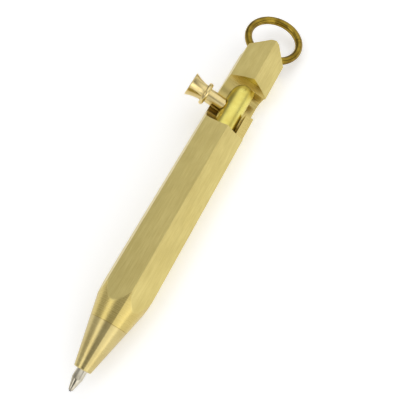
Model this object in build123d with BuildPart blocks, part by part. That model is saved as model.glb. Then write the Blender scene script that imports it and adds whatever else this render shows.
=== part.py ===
# Hexagonal brass bolt-action mini pen with a key ring at its rear end.
# Frame: mm, +Z up. The pen lies on one hexagon flat: its axis runs along Y at z = 5,
# the writing tip points to -Y and the key ring is at +Y. The underside flat is on z = 0.
# "a" is the distance along the axis from the nose rim towards the rear; y = a - A0.
# The ridge (hexagon corner on top, under the bolt's path) points along (0.5, 0, 0.866);
# the handle and the ring's hole point along (-0.866, 0, 0.5).
import os
from math import sqrt, sin, cos, radians
from build123d import *

os.makedirs("parts", exist_ok=True)

# ---------------------------------------------------------------- driving dimensions
AF = 10.0              # hexagon bar, across flats
RC = AF / sqrt(3)      # hexagon corner radius
AXIS_H = AF / 2        # axis height above the table
L_BODY = 84.1          # nose rim to rear end
A0 = 42.05             # a at y = 0 (middle of the brass body)
NOSE_R = 1.8           # nose rim radius
CONE_K = 0.235         # cone radius gained per mm of length
SEAM_A = 9.6           # seam between nose cone and barrel
SPIGOT_A = 16.5        # rear end of the nose cone's spigot
SPIGOT_R = 2.97
SOCKET_R = 3.0
TIP_HOLE_R = 1.4       # hole at the nose rim
BORE_F_R = 1.6         # front bore, round the refill
BORE_R = 2.75          # rear bore, round the bolt
STEP_A = 39.85         # step between front bore and rear bore
BORE_END_A = 77.8      # blind end of the rear bore
WIN_FRONT_A = 58.0     # window, top edge at the ridge, front
WIN_REAR_A = 71.7      # window, rear wall
WIN_R = 6.0            # end radius left by the cutter
LEDGE_Z = -0.4         # ledge height along the ridge direction, from the axis
NOTCH_A1 = 61.3        # left notch, where the handle locks
NOTCH_A2 = 66.8
NOTCH_Z = -2.1
REC_A1 = 65.0         # right recess, where the handle rests when the tip is in
REC_Z = -1.95
REC_TOP = 2.6
TAB_Z = 2.1             # right-hand ledge in front of the recess, higher than the left one
TAB_X = 3.05            # its inner wall, clear of the bore
CH_A = 81.2            # side chamfers at the rear end
CH_TOP_X = 1.05
RING_HOLE_A = 82.1
RING_HOLE_Z = 0.25      # height of the ring's hole above the pen's axis
RING_HOLE_R = 1.65
RING_ROLL = 12.0       # degrees the ring's hole is turned about the pen's axis, right side up
HANDLE_A = 64.8
BOLT_A1 = 51.85
BOLT_A2 = 72.6
BOLT_R = 2.68
SOCK_END_A = 62.0      # end of the refill socket in the bolt
REFILL_R = 1.175
REFILL_END_A = 61.7
TIP_END_A = -4.35
RING_C = 6.6           # key ring, wire centreline radius
RING_W = 0.95          # key ring wire radius
RING_DROP = 7.0        # degrees the ring lies below the axis direction
RING_PIVOT_A = 82.4    # wire centre inside the hole


def y_of(a):
    return a - A0


Q = (0.5, 0, sqrt(3) / 2)              # ridge direction
RGT = (sqrt(3) / 2, 0, -0.5)           # right-hand direction
SIDE = Plane(origin=(0, 0, AXIS_H), x_dir=(0, 1, 0), z_dir=RGT)     # local x = Y, local y = ridge
TOP = Plane(origin=(0, 0, AXIS_H), x_dir=RGT, z_dir=Q)              # local x = right, local y = Y


def cross_plane(a):
    # plane across the pen at a, local x = right, local y = -ridge, normal to the rear
    return Plane(origin=(0, y_of(a), AXIS_H), x_dir=RGT, z_dir=(0, 1, 0))


def loc(a, x, z):
    # point given by a, right offset and ridge height
    return (RGT[0] * x + Q[0] * z, y_of(a), AXIS_H + RGT[2] * x + Q[2] * z)


AXIS = Axis((0, 0, AXIS_H), (0, 1, 0))
# directions of the key ring and its hole, turned from the hexagon's by RING_ROLL
rr = radians(RING_ROLL)
RING_X = (RGT[0] * cos(rr) + Q[0] * sin(rr), 0, RGT[2] * cos(rr) + Q[2] * sin(rr))
RING_UP = (Q[0] * cos(rr) - RGT[0] * sin(rr), 0, Q[2] * cos(rr) - RGT[2] * sin(rr))
cone_end_a = (RC - NOSE_R) / CONE_K + 0.4

# ---------------------------------------------------------------- barrel
with BuildPart() as barrel:
    with BuildSketch(cross_plane(SEAM_A)):
        RegularPolygon(radius=RC, side_count=6, rotation=90)
    extrude(amount=L_BODY - SEAM_A)
    # turned cone running into the hexagon
    with BuildSketch(SIDE):
        with BuildLine():
            Polyline(
                (y_of(-1), 0),
                (y_of(-1), NOSE_R - CONE_K),
                (y_of(cone_end_a), NOSE_R + CONE_K * cone_end_a),
                (y_of(L_BODY + 1), NOSE_R + CONE_K * cone_end_a),
                (y_of(L_BODY + 1), 0),
                (y_of(-1), 0),
            )
        make_face()
    revolve(axis=AXIS, mode=Mode.INTERSECT)
    # socket for the nose cone, front bore, rear bore
    with BuildSketch(SIDE):
        with BuildLine():
            Polyline(
                (y_of(SEAM_A - 1), 0),
                (y_of(SEAM_A - 1), SOCKET_R),
                (y_of(SPIGOT_A + 0.3), SOCKET_R),
                (y_of(SPIGOT_A + 0.3), BORE_F_R),
                (y_of(STEP_A), BORE_F_R),
                (y_of(STEP_A), BORE_R),
                (y_of(BORE_END_A), BORE_R),
                (y_of(BORE_END_A), 0),
                (y_of(SEAM_A - 1), 0),
            )
        make_face()
    revolve(axis=AXIS, mode=Mode.SUBTRACT)
    # window milled across the ridge
    with BuildSketch(SIDE):
        with BuildLine():
            Polyline(
                (y_of(WIN_REAR_A), LEDGE_Z + WIN_R),
                (y_of(WIN_REAR_A), RC + 2),
                (y_of(WIN_FRONT_A), RC + 2),
                (y_of(WIN_FRONT_A), LEDGE_Z + WIN_R),
            )
            RadiusArc(
                (y_of(WIN_FRONT_A), LEDGE_Z + WIN_R),
                (y_of(WIN_FRONT_A + WIN_R), LEDGE_Z),
                -WIN_R,
            )
            Line((y_of(WIN_FRONT_A + WIN_R), LEDGE_Z), (y_of(WIN_REAR_A - WIN_R), LEDGE_Z))
            RadiusArc(
                (y_of(WIN_REAR_A - WIN_R), LEDGE_Z),
                (y_of(WIN_REAR_A), LEDGE_Z + WIN_R),
                -WIN_R,
            )
        make_face()
    extrude(amount=8, both=True, mode=Mode.SUBTRACT)
    # right-hand ledge, left standing higher than the left one
    with BuildSketch(SIDE.offset(TAB_X)):
        with BuildLine():
            Polyline(
                (y_of(WIN_FRONT_A - 1), LEDGE_Z - 1),
                (y_of(REC_A1), LEDGE_Z - 1),
                (y_of(REC_A1), TAB_Z),
                (y_of(WIN_FRONT_A - 1), TAB_Z),
                (y_of(WIN_FRONT_A - 1), LEDGE_Z - 1),
            )
        make_face()
    extrude(amount=AF / 2 - TAB_X)
    # left notch
    with BuildSketch(SIDE):
        with BuildLine():
            Polyline(
                (y_of(NOTCH_A1), NOTCH_Z),
                (y_of(NOTCH_A2), NOTCH_Z),
                (y_of(NOTCH_A2), 0.6),
                (y_of(NOTCH_A1), 0.6),
                (y_of(NOTCH_A1), NOTCH_Z),
            )
        make_face()
    extrude(amount=-8, mode=Mode.SUBTRACT)
    # right recess, rounded where its floor meets the rear wall
    with BuildSketch(SIDE):
        with BuildLine():
            Polyline(
                (y_of(REC_A1), REC_TOP),
                (y_of(REC_A1), REC_Z),
                (y_of(WIN_REAR_A - 2), REC_Z),
            )
            RadiusArc(
                (y_of(WIN_REAR_A - 2), REC_Z),
                (y_of(WIN_REAR_A), REC_Z + 2),
                -2.0,
            )
            Polyline(
                (y_of(WIN_REAR_A), REC_Z + 2),
                (y_of(WIN_REAR_A), REC_TOP),
                (y_of(REC_A1), REC_TOP),
            )
        make_face()
    extrude(amount=8, mode=Mode.SUBTRACT)
    # side chamfers at the rear end
    with BuildSketch(TOP):
        for sg in (-1, 1):
            with BuildLine():
                Polyline(
                    (sg * AF / 2, y_of(CH_A)),
                    (sg * CH_TOP_X, y_of(L_BODY)),
                    (sg * CH_TOP_X, y_of(L_BODY + 2)),
                    (sg * AF, y_of(L_BODY + 2)),
                    (sg * AF, y_of(CH_A)),
                    (sg * AF / 2, y_of(CH_A)),
                )
            make_face()
    extrude(amount=8, both=True, mode=Mode.SUBTRACT)
    # hole for the key ring, left to right
    with BuildSketch(Plane(origin=loc(RING_HOLE_A, 0, RING_HOLE_Z), x_dir=(0, 1, 0), z_dir=RING_X)):
        Circle(RING_HOLE_R)
    extrude(amount=8, both=True, mode=Mode.SUBTRACT)
barrel.part.label = "barrel"
export_step(barrel.part, "parts/barrel.step")

# ---------------------------------------------------------------- nose cone
with BuildPart() as nose_cone:
    with BuildSketch(SIDE):
        with BuildLine():
            Polyline(
                (y_of(0.12), NOSE_R + CONE_K * 0.12),
                (y_of(SEAM_A - 0.06), NOSE_R + CONE_K * (SEAM_A - 0.06)),
                (y_of(SEAM_A), NOSE_R + CONE_K * SEAM_A - 0.06),
                (y_of(SEAM_A), SPIGOT_R),
                (y_of(SPIGOT_A - 0.3), SPIGOT_R),
                (y_of(SPIGOT_A), SPIGOT_R - 0.3),
                (y_of(SPIGOT_A), BORE_F_R),
                (y_of(2.4), BORE_F_R),
                (y_of(1.6), TIP_HOLE_R),
                (y_of(0.0), TIP_HOLE_R),
                (y_of(0.0), NOSE_R - 0.12),
                (y_of(0.12), NOSE_R + CONE_K * 0.12),
            )
        make_face()
    revolve(axis=AXIS)
nose_cone.part.label = "nose_cone"
export_step(nose_cone.part, "parts/nose_cone.step")

# ---------------------------------------------------------------- bolt
with BuildPart() as bolt:
    with BuildSketch(SIDE):
        with BuildLine():
            Polyline(
                (y_of(BOLT_A1), 1.25),
                (y_of(BOLT_A1), BOLT_R - 0.3),
                (y_of(BOLT_A1 + 0.3), BOLT_R),
                (y_of(BOLT_A2 - 0.4), BOLT_R),
                (y_of(BOLT_A2), BOLT_R - 0.4),
                (y_of(BOLT_A2), 0),
                (y_of(SOCK_END_A), 0),
                (y_of(SOCK_END_A), 1.25),
                (y_of(BOLT_A1), 1.25),
            )
        make_face()
    revolve(axis=AXIS)
    # side hole that takes the handle's threaded end
    with BuildSketch(Plane(origin=loc(HANDLE_A, 0, 0), x_dir=(0, 1, 0), z_dir=(-RGT[0], 0, -RGT[2]))):
        Circle(1.25)
    extrude(amount=4, mode=Mode.SUBTRACT)
bolt.part.label = "bolt"
export_step(bolt.part, "parts/bolt.step")

# ---------------------------------------------------------------- handle, turned
HAND = Plane(origin=loc(HANDLE_A, 0, 0), x_dir=(-RGT[0], 0, -RGT[2]), z_dir=Q)
HAND_AXIS = Axis(loc(HANDLE_A, 0, 0), (-RGT[0], 0, -RGT[2]))
with BuildPart() as bolt_handle:
    with BuildSketch(HAND):
        with BuildLine():
            Polyline(
                (0.15, 0),
                (0.15, 1.25),
                (BOLT_R, 1.25),
                (BOLT_R, 1.75),
                (6.9, 1.75),
                (6.9, 2.55),
            )
            ThreePointArc((6.9, 2.55), (7.4, 2.8), (7.9, 2.55))
            Polyline((7.9, 2.55), (7.9, 1.95))
            Spline(
                (7.9, 1.95),
                (9.3, 2.12),
                (11.35, 2.8),
                tangents=[(1, 0), (1, 0.45)],
            )
            ThreePointArc((11.35, 2.8), (11.55, 2.82), (11.6, 2.66))
            Polyline((11.6, 2.66), (11.6, 0), (0.15, 0))
        make_face()
    revolve(axis=HAND_AXIS)
bolt_handle.part.label = "bolt_handle"
export_step(bolt_handle.part, "parts/bolt_handle.step")

# ---------------------------------------------------------------- return spring
SPR_A1 = STEP_A + 0.05
SPR_A2 = BOLT_A1 - 0.05
WIRE_R = 0.22
COIL_R = 2.28
TURNS = 9
spr_y1 = y_of(SPR_A1) + WIRE_R
spr_len = SPR_A2 - SPR_A1 - 2 * WIRE_R
with BuildPart() as return_spring:
    with BuildLine() as spring_path:
        Helix(
            pitch=spr_len / TURNS,
            height=spr_len,
            radius=COIL_R,
            center=(0, spr_y1, AXIS_H),
            direction=(0, 1, 0),
        )
    with BuildSketch(Plane(origin=spring_path.line @ 0, z_dir=spring_path.line % 0)):
        Circle(WIRE_R)
    sweep(is_frenet=True)
return_spring.part.label = "return_spring"
export_step(return_spring.part, "parts/return_spring.step")

# ---------------------------------------------------------------- refill
with BuildPart() as refill_tube:
    with BuildSketch(SIDE):
        with BuildLine():
            Polyline(
                (y_of(3.2), 0.82),
                (y_of(3.2), REFILL_R),
                (y_of(REFILL_END_A), REFILL_R),
                (y_of(REFILL_END_A), 0.82),
                (y_of(3.2), 0.82),
            )
        make_face()
    revolve(axis=AXIS)
refill_tube.part.label = "refill_tube"
export_step(refill_tube.part, "parts/refill_tube.step")

with BuildPart() as refill_point:
    with BuildSketch(SIDE):
        with BuildLine():
            Polyline(
                (y_of(TIP_END_A + 0.25), 0.362),
                (y_of(TIP_END_A + 0.33), 0.47),
                (y_of(-1.95), 1.05),
                (y_of(-1.8), 1.12),
                (y_of(3.2), 1.12),
                (y_of(3.2), 0.82),
                (y_of(7.0), 0.80),
                (y_of(7.0), 0.55),
                (y_of(5.6), 0.40),
                (y_of(-2.6), 0.40),
                (y_of(-3.2), 0.18),
                (y_of(-3.5), 0.18),
                (y_of(TIP_END_A + 0.70), 0.385),
                (y_of(TIP_END_A + 0.25), 0.362),
            )
        make_face()
    revolve(axis=AXIS)
refill_point.part.label = "refill_point"
export_step(refill_point.part, "parts/refill_point.step")

with BuildPart() as writing_ball:
    with Locations((0, y_of(TIP_END_A + 0.36), AXIS_H)):
        Sphere(0.36)
writing_ball.part.label = "writing_ball"
export_step(writing_ball.part, "parts/writing_ball.step")

with BuildPart() as ink_column:
    with BuildSketch(SIDE):
        Polygon(
            (y_of(7.1), 0),
            (y_of(7.1), 0.80),
            (y_of(49.0), 0.80),
            (y_of(49.0), 0),
            align=None,
        )
    revolve(axis=AXIS)
ink_column.part.label = "ink_column"
export_step(ink_column.part, "parts/ink_column.step")

with BuildPart() as grease_follower:
    with BuildSketch(SIDE):
        Polygon(
            (y_of(49.1), 0),
            (y_of(49.1), 0.80),
            (y_of(52.0), 0.80),
            (y_of(52.0), 0),
            align=None,
        )
    revolve(axis=AXIS)
grease_follower.part.label = "grease_follower"
export_step(grease_follower.part, "parts/grease_follower.step")

# ---------------------------------------------------------------- key ring with its butt joint
rd = radians(RING_DROP)
ring_dir = (-RING_UP[0] * sin(rd), cos(rd), -RING_UP[2] * sin(rd))        # from the hole to the ring's centre
pv = loc(RING_PIVOT_A, 0, RING_HOLE_Z)
ring_o = (pv[0] + ring_dir[0] * RING_C, pv[1] + ring_dir[1] * RING_C, pv[2] + ring_dir[2] * RING_C)
RING = Plane(origin=ring_o, x_dir=RING_X, z_dir=(
    -RING_X[2] * ring_dir[1],
    RING_X[2] * ring_dir[0] - RING_X[0] * ring_dir[2],
    RING_X[0] * ring_dir[1],
))
GAP_DEG = 33.0         # where the two wire ends meet, from the right-hand side
GAP_W = 1.2            # degrees left open between the ends
with BuildPart() as key_ring:
    g0 = GAP_DEG + GAP_W / 2
    with BuildLine(RING) as ring_path:
        CenterArc((0, 0), RING_C, g0, 360 - GAP_W)
    with BuildSketch(Plane(origin=ring_path.line @ 0, z_dir=ring_path.line % 0)):
        Circle(RING_W)
    sweep()
key_ring.part.label = "key_ring"
export_step(key_ring.part, "parts/key_ring.step")
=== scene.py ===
# Looks of the hexagonal brass bolt-action pen: brass and steel materials, studio, camera.
# Units are metres, in the frame of the CAD model. The pen's axis runs along +Y.
import math

import bpy
from mathutils import Matrix, Vector

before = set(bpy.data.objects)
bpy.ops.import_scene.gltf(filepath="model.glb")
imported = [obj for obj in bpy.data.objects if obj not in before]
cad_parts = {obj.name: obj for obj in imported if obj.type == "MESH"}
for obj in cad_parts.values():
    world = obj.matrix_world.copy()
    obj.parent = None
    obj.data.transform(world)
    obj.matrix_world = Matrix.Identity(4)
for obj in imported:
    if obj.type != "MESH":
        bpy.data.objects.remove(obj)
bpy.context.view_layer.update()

MM = 0.001
AXIS_H = 5 * MM             # height of the pen's axis
ALONG = (0.0, 1.0, 0.0)     # the pen's axis
# directions across the bar's three pairs of flats
FLATS = ((0.0, 0.0, 1.0), (0.8660254, 0.0, 0.5), (0.8660254, 0.0, -0.5))
HANDLE_DIR = (-math.sqrt(3) / 2, 0.0, 0.5)        # the handle's axis, the way it stands at rest


# ------------------------------------------------------------------ small node helpers
RANGE_KEYS = ("From Min", "From Max", "To Min", "To Max")


class Net:
    """A material's node tree, with short calls for the nodes used below."""

    def __init__(self, name):
        self.mat = bpy.data.materials.new(name)
        self.mat.use_nodes = True
        self.tree = self.mat.node_tree
        self.bsdf = self.tree.nodes["Principled BSDF"]
        self.coord = self.add("ShaderNodeTexCoord").outputs["Object"]

    def add(self, kind, **values):
        node = self.tree.nodes.new(kind)
        for key, value in values.items():
            setattr(node, key, value)
        return node

    def put(self, socket, value):
        if isinstance(value, bpy.types.NodeSocket):
            self.tree.links.new(value, socket)
        else:
            socket.default_value = value

    def math(self, op, a, b=0.0):
        node = self.add("ShaderNodeMath", operation=op)
        self.put(node.inputs[0], a)
        self.put(node.inputs[1], b)
        return node.outputs[0]

    def weighed(self, a, weight_a, b, weight_b):
        """a and b, each times its weight, added."""
        return self.math("ADD", self.math("MULTIPLY", a, weight_a), self.math("MULTIPLY", b, weight_b))

    def scaled(self, scale):
        """Object coordinates, multiplied along each axis."""
        node = self.add("ShaderNodeMapping")
        self.put(node.inputs["Vector"], self.coord)
        node.inputs["Scale"].default_value = scale
        return node.outputs[0]

    def noise(self, vector, scale, detail=3.0, rough=0.55):
        node = self.add("ShaderNodeTexNoise")
        self.put(node.inputs["Vector"], vector)
        node.inputs["Scale"].default_value = scale
        node.inputs["Detail"].default_value = detail
        node.inputs["Roughness"].default_value = rough
        return node.outputs["Fac"]

    def fit(self, value, low, high, to_low, to_high):
        node = self.add("ShaderNodeMapRange")
        self.put(node.inputs["Value"], value)
        for key, number in zip(RANGE_KEYS, (low, high, to_low, to_high)):
            self.put(node.inputs[key], number)
        return node.outputs[0]

    def line(self, phase):
        """A vector that varies only with phase, so noise on it makes rings."""
        node = self.add("ShaderNodeCombineXYZ")
        self.put(node.inputs["X"], phase)
        return node.outputs[0]

    def dot(self, direction, origin=(0.0, 0.0, 0.0)):
        """Distance along a direction, from a point in the object's own frame."""
        shift = self.add("ShaderNodeVectorMath", operation="SUBTRACT")
        self.put(shift.inputs[0], self.coord)
        shift.inputs[1].default_value = origin
        node = self.add("ShaderNodeVectorMath", operation="DOT_PRODUCT")
        self.put(node.inputs[0], shift.outputs["Vector"])
        node.inputs[1].default_value = direction
        return node.outputs["Value"]

    def mix(self, factor, a, b):
        node = self.add("ShaderNodeMix", data_type="RGBA")
        self.put(node.inputs["Factor"], factor)
        self.put(node.inputs["A"], a)
        self.put(node.inputs["B"], b)
        return node.outputs["Result"]

    def bump(self, height, strength, distance):
        node = self.add("ShaderNodeBump")
        node.inputs["Strength"].default_value = strength
        node.inputs["Distance"].default_value = distance
        self.put(node.inputs["Height"], height)
        return node.outputs["Normal"]

    def rings(self, axis, pitch):
        """Uneven rings round an axis, as a cutter leaves them."""
        wobble = self.noise(self.scaled((600.0, 600.0, 600.0)), 1.0, 2.0, 0.5)
        steps = self.math("DIVIDE", self.dot(axis), pitch)
        phase = self.math("ADD", steps, self.math("MULTIPLY", wobble, 0.6))
        return self.noise(self.line(phase), 1.0, 3.0, 0.7)

    def set(self, **values):
        """Fill sockets of the shader, with _ for a space in a name, and give the material."""
        for key, value in values.items():
            self.put(self.bsdf.inputs[key.replace("_", " ")], value)
        return self.mat


def colour(hexa):
    """Linear RGBA from an sRGB hex string."""
    out = []
    for i in (0, 2, 4):
        c = int(hexa[i:i + 2], 16) / 255
        out.append(c / 12.92 if c <= 0.04045 else ((c + 0.055) / 1.055) ** 2.4)
    return (*out, 1.0)


# ------------------------------------------------------------------ materials
RING_PITCH = 0.11 * MM      # the lathe's feed on the barrel and the nose cone
HANDLE_PITCH = 0.16 * MM
GRAIN_DEPTH = 0.02 * MM
HAIR_DEPTH = 0.01 * MM


def bar_brass(name, base, deep, cut, cut_deep, rough, cut_rough):
    """Drawn hexagon bar: lengthwise lines on the flats, cutter rings where it was machined."""
    net = Net(name)
    mid = (0.0, 0.0, AXIS_H)
    reach = [net.math("ABSOLUTE", net.dot(side, mid)) for side in FLATS]
    reach = net.math("MAXIMUM", net.math("MAXIMUM", reach[0], reach[1]), reach[2])
    flat = net.fit(reach, 4.90 * MM, 4.96 * MM, 0.0, 1.0)
    machined = net.math("SUBTRACT", 1.0, flat)
    fine = net.noise(net.scaled((9000.0, 260.0, 9000.0)), 1.0, 4.0, 0.6)
    broad = net.noise(net.scaled((1700.0, 40.0, 1700.0)), 1.0, 3.0, 0.5)
    cloud = net.noise(net.scaled((260.0, 150.0, 260.0)), 1.0, 4.0, 0.6)
    lines = net.weighed(fine, 0.75, broad, 0.25)
    rings = net.rings(ALONG, RING_PITCH)
    drawn_tone = net.mix(net.fit(lines, 0.35, 0.65, 0.0, 1.0), deep, base)
    cut_tone = net.mix(net.fit(rings, 0.35, 0.65, 0.0, 1.0), cut_deep, cut)
    tone = net.mix(flat, cut_tone, drawn_tone)
    tone = net.mix(net.fit(cloud, 0.35, 0.75, 0.0, 0.25), tone, colour("a08a48"))
    uneven = net.math("ADD", lines, net.math("MULTIPLY", cloud, 0.5))
    drawn_rough = net.fit(uneven, 0.5, 1.0, rough - 0.05, rough + 0.07)
    turned_rough = net.fit(rings, 0.3, 0.7, cut_rough - 0.05, cut_rough + 0.06)
    return net.set(
        Base_Color=tone,
        Metallic=1.0,
        Roughness=net.weighed(flat, drawn_rough, machined, turned_rough),
        Normal=net.bump(net.weighed(flat, lines, machined, rings), 0.25, GRAIN_DEPTH),
        Anisotropic=0.3,
    )


def turned_brass(name, base, deep, rough, ring_bump, axis, pitch):
    """Lathe-turned brass: rings round the axis of turning."""
    net = Net(name)
    rings = net.rings(axis, pitch)
    cloud = net.noise(net.scaled((300.0, 300.0, 300.0)), 1.0, 4.0, 0.6)
    tone = net.mix(net.fit(rings, 0.35, 0.65, 0.0, 1.0), deep, base)
    tone = net.mix(net.fit(cloud, 0.4, 0.8, 0.0, 0.3), tone, colour("a08238"))
    return net.set(
        Base_Color=tone,
        Metallic=1.0,
        Roughness=net.fit(rings, 0.3, 0.7, rough - 0.05, rough + 0.06),
        Normal=net.bump(rings, ring_bump, GRAIN_DEPTH),
    )


def polished(name, base, deep, rough, scratches):
    """Polished metal with hair scratches along the pen and faint smudges."""
    net = Net(name)
    smudge = net.noise(net.scaled((420.0, 420.0, 420.0)), 1.0, 4.0, 0.6)
    hair = net.noise(net.scaled((5400.0, 900.0, 5400.0)), 1.0, 2.0, 0.5)
    uneven = net.math("ADD", smudge, net.math("MULTIPLY", hair, 0.4))
    return net.set(
        Base_Color=net.mix(net.fit(smudge, 0.35, 0.7, 0.0, 1.0), base, deep),
        Metallic=1.0,
        Roughness=net.fit(uneven, 0.5, 1.0, rough - 0.04, rough + 0.08),
        Normal=net.bump(hair, scratches, HAIR_DEPTH),
    )


def plain(name, base, deep, rough):
    """Ink or grease: not a metal, with a little variation."""
    net = Net(name)
    cloud = net.noise(net.scaled((500.0, 500.0, 500.0)), 1.0, 3.0, 0.5)
    return net.set(
        Base_Color=net.mix(cloud, base, deep),
        Roughness=net.fit(cloud, 0.3, 0.7, rough - 0.05, rough + 0.05),
        Normal=net.bump(cloud, 0.1, HAIR_DEPTH),
    )


MATERIALS = {
    "barrel": bar_brass(
        "hex brass", colour("e2d28c"), colour("d0bd74"), colour("dcca84"), colour("c0aa60"), 0.36, 0.27),
    "nose_cone": turned_brass(
        "cone brass", colour("d8c890"), colour("bba868"), 0.27, 0.30, ALONG, RING_PITCH),
    "bolt": polished("bolt brass", colour("e8dc78"), colour("ddcb66"), 0.30, 0.12),
    "bolt_handle": turned_brass(
        "handle brass", colour("ecdca8"), colour("d9bf78"), 0.16, 0.15, HANDLE_DIR, HANDLE_PITCH),
    "key_ring": polished("ring brass", colour("a58b34"), colour("745c1c"), 0.18, 0.10),
    "refill_tube": polished("tube brass", colour("d8bd78"), colour("b9974c"), 0.25, 0.10),
    "refill_point": polished("point steel", colour("d6d0be"), colour("a89f8a"), 0.13, 0.05),
    "writing_ball": polished("ball carbide", colour("8c8c90"), colour("6c6c70"), 0.12, 0.02),
    "return_spring": polished("spring steel", colour("c8c8c6"), colour("9c9c98"), 0.22, 0.08),
    "ink_column": plain("ink", colour("15151a"), colour("222228"), 0.25),
    "grease_follower": plain("grease", colour("cfc89a"), colour("bdb584"), 0.35),
}
for node_name, material in MATERIALS.items():
    obj = bpy.data.objects[node_name]
    for slot in obj.material_slots:
        slot.material = material
    if not obj.material_slots:
        obj.data.materials.append(material)

# fine rounding so that corners catch a thin line of light
for node_name, width in (("barrel", 0.12 * MM), ("bolt_handle", 0.06 * MM), ("nose_cone", 0.05 * MM)):
    obj = bpy.data.objects[node_name]
    bevel = obj.modifiers.new("edge", "BEVEL")
    bevel.width = width
    bevel.segments = 2
    bevel.limit_method = "ANGLE"
    bevel.angle_limit = math.radians(28)

# ------------------------------------------------------------------ floor, camera, light
WHITE = (1.0, 1.0, 1.0, 1.0)
FLOOR_SIZE = 3.0
FLOOR_LIGHT = 0.30          # the floor shines a little, which keeps it white and its shadows faint

floor_net = Net("floor")
floor_cloud = floor_net.noise(floor_net.scaled((30.0, 30.0, 30.0)), 1.0, 3.0, 0.5)
floor_mat = floor_net.set(
    Base_Color=floor_net.mix(floor_cloud, colour("fdfdfd"), colour("fbfbfb")),
    Roughness=0.9,
    Emission_Color=WHITE,
    Emission_Strength=FLOOR_LIGHT,
)
bpy.ops.mesh.primitive_plane_add(size=FLOOR_SIZE, location=(0.0, 0.0, 0.0))
floor = bpy.context.object
floor.name = "floor"
floor.data.materials.append(floor_mat)

LOOK_AT = Vector((3.9, -0.93, 5.0)) * MM
AZIMUTH, ELEVATION, ROLL = (math.radians(v) for v in (43.25, 61.22, -17.59))
DISTANCE = 110.0 * MM
LENS = 45.98                # mm, on a sensor 36 mm wide
SENSOR = 36.0


def towards(azimuth, elevation):
    """Direction from the pen, with azimuth from the nose end round to the right."""
    return Vector((
        math.sin(azimuth) * math.cos(elevation),
        -math.cos(azimuth) * math.cos(elevation),
        math.sin(elevation),
    ))


back = towards(AZIMUTH, ELEVATION)
level = Vector((0, 0, 1)).cross(back).normalized()
rise = back.cross(level)
right = level * math.cos(ROLL) + rise * math.sin(ROLL)
up = back.cross(right)
cam_data = bpy.data.cameras.new("camera")
camera = bpy.data.objects.new("camera", cam_data)
bpy.context.scene.collection.objects.link(camera)
spot = LOOK_AT + back * DISTANCE
camera.matrix_world = Matrix((
    (right.x, up.x, back.x, spot.x),
    (right.y, up.y, back.y, spot.y),
    (right.z, up.z, back.z, spot.z),
    (0, 0, 0, 1),
))
cam_data.lens = LENS
cam_data.sensor_width = SENSOR
cam_data.clip_start = 0.005
cam_data.clip_end = 10.0
bpy.context.scene.camera = camera


# a weak soft box at the right, for a little direction in the shadows
KEY_SIZE, KEY_DISTANCE, KEY_POWER = 0.6, 0.7, 0.3
key_data = bpy.data.lights.new("key", "AREA")
key_data.shape = "RECTANGLE"
key_data.size, key_data.size_y = KEY_SIZE, KEY_SIZE
key_data.energy = KEY_POWER
key = bpy.data.objects.new("key", key_data)
bpy.context.scene.collection.objects.link(key)
key_side = Vector((0.75, -0.50, 0.45)).normalized()
key.location = LOOK_AT + key_side * KEY_DISTANCE
key.rotation_euler = (-key_side).to_track_quat("-Z", "Y").to_euler()

# The studio round the pen, which the brass mirrors.
STUDIO_BASE = 0.16
world = bpy.data.worlds.new("studio")
bpy.context.scene.world = world
world.use_nodes = True
sky = world.node_tree
sky_coord = sky.nodes.new("ShaderNodeTexCoord")


def sky_ramp(value, low, high, at_low, at_high):
    """Smooth change of strength as a value goes from low to high."""
    ramp = sky.nodes.new("ShaderNodeMapRange")
    ramp.interpolation_type = "SMOOTHSTEP"
    sky.links.new(value, ramp.inputs["Value"])
    for key, number in zip(RANGE_KEYS, (low, high, at_low, at_high)):
        ramp.inputs[key].default_value = number
    return ramp.outputs[0]


def sky_glow(direction, low, high, strength):
    """Light from the part of the studio that lies towards a direction."""
    dot = sky.nodes.new("ShaderNodeVectorMath")
    dot.operation = "DOT_PRODUCT"
    sky.links.new(sky_coord.outputs["Generated"], dot.inputs[0])
    dot.inputs[1].default_value = Vector(direction).normalized()
    return sky_ramp(dot.outputs["Value"], low, high, 0.0, strength)


def wall_glow(full, none, strength):
    """Light from the studio's walls, full at the floor's level and gone above a height."""
    parts = sky.nodes.new("ShaderNodeSeparateXYZ")
    sky.links.new(sky_coord.outputs["Generated"], parts.inputs[0])
    return sky_ramp(parts.outputs["Z"], full, none, strength, 0.0)


glow = STUDIO_BASE
for part in (
    wall_glow(0.02, 0.24, 0.62),
    sky_glow((0.28, 0.47, 0.81), 0.50, 0.95, 0.95),      # ceiling over the rear end
    sky_glow((0.25, -0.90, 0.32), 0.80, 0.97, 0.55),     # wall beyond the nose, for the milled arc
    sky_glow((1.0, -0.18, 0.06), 0.90, 0.99, 0.50),      # right wall, for the right flat's nose end
    sky_glow((-0.32, -0.43, 0.84), 0.95, 0.99, 1.50),    # narrow box, the cone's thin highlight
    sky_glow((0.81, -0.43, 0.39), 0.88, 0.985, 0.95),    # wide box, the cone's broad highlight
    sky_glow((-0.85, -0.30, 0.40), 0.60, 0.95, 0.40),    # left wall
):
    added = sky.nodes.new("ShaderNodeMath")
    sky.links.new(part, added.inputs[0])
    if isinstance(glow, bpy.types.NodeSocket):
        sky.links.new(glow, added.inputs[1])
    else:
        added.inputs[1].default_value = glow
    glow = added.outputs[0]
background = sky.nodes["Background"]
background.inputs["Color"].default_value = WHITE
sky.links.new(glow, background.inputs["Strength"])
bpy.context.scene.view_settings.view_transform = "Standard"
